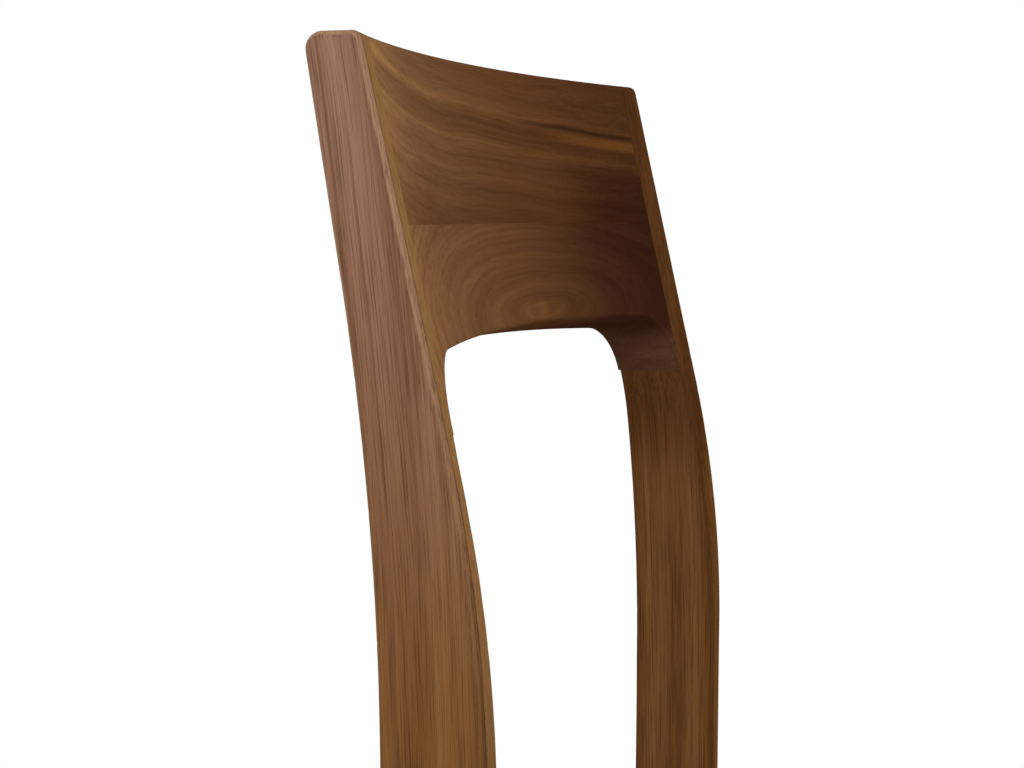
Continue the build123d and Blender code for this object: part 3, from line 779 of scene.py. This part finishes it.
def make_cushion(cloth, thread_material):
    """Upholstered pad: simulated cover over the foam, with a sewn border seam."""
    piece = bpy.data.objects.new("seat_cushion", pad_mesh())
    scene.collection.objects.link(piece)
    remesh = piece.modifiers.new("remesh", "REMESH")
    remesh.mode = "VOXEL"
    remesh.voxel_size = voxel
    piece.data = evaluated_mesh(piece)
    piece.modifiers.clear()
    smooth = piece.modifiers.new("smooth", "SMOOTH")
    smooth.factor = smooth_share
    smooth.iterations = smooth_rounds
    piece.data = evaluated_mesh(piece)
    piece.modifiers.clear()
    inflate(piece)
    finer = piece.modifiers.new("finer", "SUBSURF")
    finer.levels = 1
    finer.render_levels = 1
    mesh = evaluated_mesh(piece)
    bpy.data.objects.remove(piece)
    tree = sew_seam(mesh)
    mesh.name = "seat_cushion"
    cushion = new_piece("seat_cushion", mesh, cloth)
    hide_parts("seat_cover", "seat_foam")
    new_piece("seat_stitching", stitch_row(tree), thread_material)


def make_dust_cover(material):
    """Thin black cloth stapled flat under the seat, slack between the staples."""
    length = dust_high.y - dust_low.y
    narrow = dust_half_rear
    wide = dust_half_front
    rows = [dust_low.y + length * i / dust_rows for i in range(dust_rows + 1)]

    def half_width(y):
        full = wide + (narrow - wide) * (y - dust_low.y) / length
        return full - max(dust_corner - (y - dust_low.y), 0.0)

    shape = bmesh.new()
    sheets = []
    for thickness in (0.0, dust_high.z - dust_low.z):
        grid = []
        for y in rows:
            line = []
            for k in range(dust_columns + 1):
                u = 2 * k / dust_columns - 1
                v = 2 * (y - dust_low.y) / length - 1
                x = u * half_width(y)
                slack = (1 - u**2) * (1 - v**2)
                place = Vector((x * dust_ripple, y * dust_ripple, dust_ripple_depth))
                ripple = 0.5 + 0.5 * noise.noise(place)
                z = dust_low.z + thickness - dust_sag * slack * (0.5 + ripple)
                line.append(shape.verts.new((x, y, z)))
            grid.append(line)
        sheets.append(grid)
    for i in range(dust_rows):
        for k in range(dust_columns):
            for grid in sheets:
                shape.faces.new((grid[i][k], grid[i][k + 1], grid[i + 1][k + 1], grid[i + 1][k]))
    low, high = sheets
    edge = [(i, 0) for i in range(dust_rows)]
    edge += [(dust_rows, k) for k in range(dust_columns)]
    edge += [(i, dust_columns) for i in range(dust_rows, 0, -1)]
    edge += [(0, k) for k in range(dust_columns, 0, -1)]
    for (i, k), (j, m) in zip(edge, edge[1:] + edge[:1]):
        shape.faces.new((low[i][k], low[j][m], high[j][m], high[i][k]))
    bmesh.ops.recalc_face_normals(shape, faces=shape.faces[:])
    mesh = bpy.data.meshes.new("seat_dust_cloth")
    shape.to_mesh(mesh)
    shape.free()
    piece = new_piece("seat_dust_cloth", mesh, material)
    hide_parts("dust_cover")


def dress_frame():
    """Gives every CAD node its finish."""
    curved = post_walnut("walnut_post", True)
    straight = post_walnut("walnut_front_leg", False)
    across_rail = rail_walnut("walnut_cross_rail", "x", "y")
    side_rail = rail_walnut("walnut_side_rail", "y", "x")
    block = beech("beech_block")
    pin = beech("beech_dowel")
    zinc = steel("zinc_steel")
    finishes = {
        "rear_leg": curved,
        "front_leg": straight,
        "backrest_upper_board": upper_board_walnut(),
        "backrest_lower_board": lower_board_walnut(),
        "backrest_dowels": pin,
        "board_dowels": pin,
        "front_rail": across_rail,
        "rear_rail": across_rail,
        "side_rail": side_rail,
        "corner_block_screws": zinc,
        "corner_block": block,
        "seat_screws": zinc,
        "seat_board": plywood(),
        "cover_staples": zinc,
        "floor_glide": nylon(),
        "glide_nails": zinc,
    }
    for name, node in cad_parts.items():
        for prefix, material in finishes.items():
            if name.startswith(prefix):
                for place in node.material_slots:
                    place.material = material
                break


def make_world():
    """White background for what the eye and reflections see, and soft even light for the rest."""
    world = bpy.data.worlds.new("studio")
    scene.world = world
    world.use_nodes = True
    tree = world.node_tree
    tree.nodes.clear()
    path = tree.nodes.new("ShaderNodeLightPath")
    seen = None
    for ray in ("Is Camera Ray", "Is Glossy Ray", "Is Transmission Ray"):
        if seen is None:
            seen = path.outputs[ray]
            continue
        both = tree.nodes.new("ShaderNodeMath")
        both.operation = "MAXIMUM"
        tree.links.new(seen, both.inputs[0])
        tree.links.new(path.outputs[ray], both.inputs[1])
        seen = both.outputs[0]
    soft = tree.nodes.new("ShaderNodeBackground")
    soft.inputs["Strength"].default_value = world_light
    white = tree.nodes.new("ShaderNodeBackground")
    for sky in (soft, white):
        sky.inputs["Color"].default_value = (1, 1, 1, 1)
    choice = tree.nodes.new("ShaderNodeMixShader")
    output = tree.nodes.new("ShaderNodeOutputWorld")
    tree.links.new(seen, choice.inputs[0])
    tree.links.new(soft.outputs[0], choice.inputs[1])
    tree.links.new(white.outputs[0], choice.inputs[2])
    tree.links.new(choice.outputs[0], output.inputs[0])


def make_floor():
    """Pale studio floor that keeps the chair's shadow and fades into the white background."""
    s = Shader("studio_floor")
    grain = s.noise(s.place, detail=3.0, scale=30.0)
    color = s.ramp(grain, [(0.3, (0.80, 0.80, 0.80, 1)), (0.7, (0.84, 0.84, 0.84, 1))])
    paint = s.node("ShaderNodeBsdfPrincipled", {"Base Color": color, "Roughness": 0.75}).outputs[0]
    glow = s.node("ShaderNodeEmission", {"Color": (1, 1, 1, 1), "Strength": 1.0}).outputs[0]
    reach = s.calc("SQRT", s.plus(s.times(s.x, s.x), s.times(s.y, s.y)))
    path = s.node("ShaderNodeLightPath")
    seen = s.calc("MAXIMUM", path.outputs["Is Camera Ray"], path.outputs["Is Glossy Ray"])
    fade = s.times(s.step(reach, *floor_fade), seen)
    surface = s.node("ShaderNodeMixShader", {0: fade, 1: paint, 2: glow}).outputs[0]
    s.tree.links.new(surface, s.output.inputs[0])
    shape = bmesh.new()
    rings = []
    for radius in floor_rings:
        ring = []
        for k in range(floor_sides):
            angle = 2 * pi * k / floor_sides
            ring.append(shape.verts.new((radius * cos(angle), radius * sin(angle), 0.0)))
        rings.append(ring)
    shape.faces.new(rings[0])
    for low, high in zip(rings, rings[1:]):
        for k in range(floor_sides):
            j = (k + 1) % floor_sides
            shape.faces.new((low[k], high[k], high[j], low[j]))
    mesh = bpy.data.meshes.new("studio_floor")
    shape.to_mesh(mesh)
    shape.free()
    mesh.materials.append(s.material)
    floor = bpy.data.objects.new("studio_floor", mesh)
    scene.collection.objects.link(floor)


def make_light(name, place, target, size, power, color):
    """Soft square studio light aimed at a point."""
    lamp = bpy.data.lights.new(name, "AREA")
    lamp.shape = "SQUARE"
    lamp.size = size
    lamp.energy = power
    lamp.color = color
    holder = bpy.data.objects.new(name, lamp)
    scene.collection.objects.link(holder)
    holder.location = place
    holder.rotation_mode = "QUATERNION"
    holder.rotation_quaternion = (Vector(target) - Vector(place)).to_track_quat("-Z", "Y")


def make_camera():
    """Camera at the photograph's place."""
    data = bpy.data.cameras.new("photo_camera")
    data.sensor_fit = "HORIZONTAL"
    data.sensor_width = camera_sensor
    data.lens = camera_lens
    data.clip_start = camera_near
    holder = bpy.data.objects.new("photo_camera", data)
    scene.collection.objects.link(holder)
    view = Vector(
        (cos(camera_yaw) * cos(camera_pitch), sin(camera_yaw) * cos(camera_pitch), sin(camera_pitch))
    )
    holder.location = camera_place
    holder.rotation_mode = "QUATERNION"
    holder.rotation_quaternion = view.to_track_quat("-Z", "Y") @ Quaternion((0, 0, 1), camera_roll)
    scene.camera = holder


dress_frame()
make_cushion(woven_cloth(), thread())
make_dust_cover(dust_cloth())
make_world()
make_floor()
make_light("left_softbox", *left_lamp)
make_light("right_softbox", *right_lamp)
make_camera()
